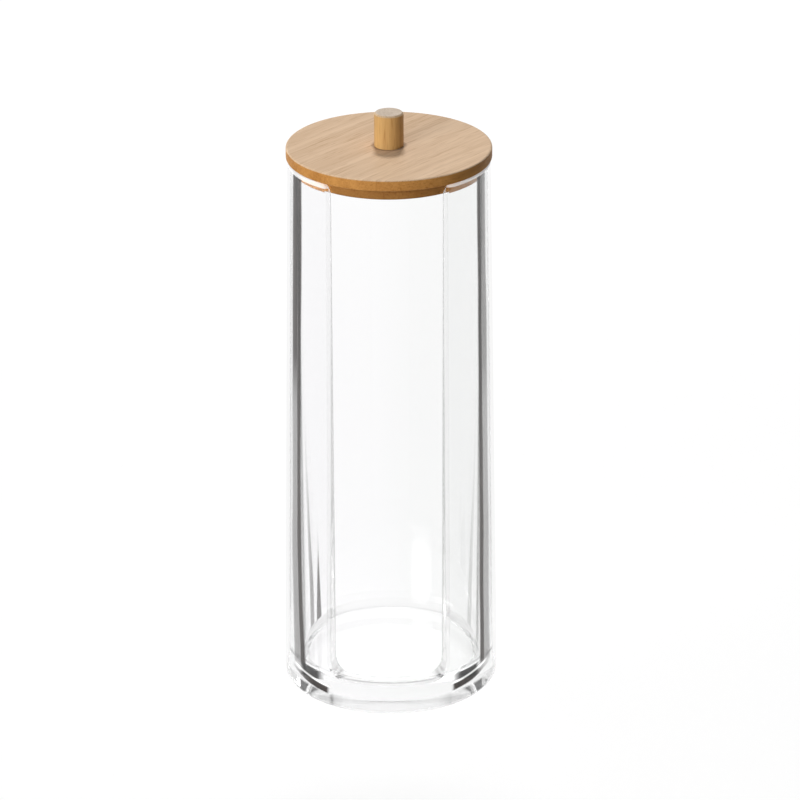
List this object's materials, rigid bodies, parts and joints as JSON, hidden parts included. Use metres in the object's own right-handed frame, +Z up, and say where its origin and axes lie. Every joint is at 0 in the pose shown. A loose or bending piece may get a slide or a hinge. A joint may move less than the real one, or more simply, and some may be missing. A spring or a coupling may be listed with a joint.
{
  "type": "acrylic storage box",
  "caption": "Tall round clear acrylic box with a wide front dispensing slot, a lift-off bamboo lid and a dowel knob.",
  "frame": {"origin": "centre of the box's underside", "axes": "+Z up along the box's axis; the dispensing slot faces -Y; +X is to the right of someone who faces the slot"},
  "size_m": [0.07, 0.07, 0.1947],
  "materials": {
    "clear_acrylic": "clear polished moulding, colourless",
    "bamboo_board": "sanded bamboo with a thin satin oil finish",
    "bamboo_dowel": "turned bamboo with a thin satin oil finish",
    "zinc_steel": "zinc-plated steel"
  },
  "bodies": {
    "box": {"body": "clear_acrylic"},
    "lid": {"lid": "bamboo_board", "knob": "bamboo_dowel", "knob_screw": "zinc_steel"}
  },
  "joints": [
    {"name": "lid_lift", "type": "slide", "parent": "box", "child": "lid", "axis": [0, 0, 1], "range_m": [0, 0.03]}
  ]
}
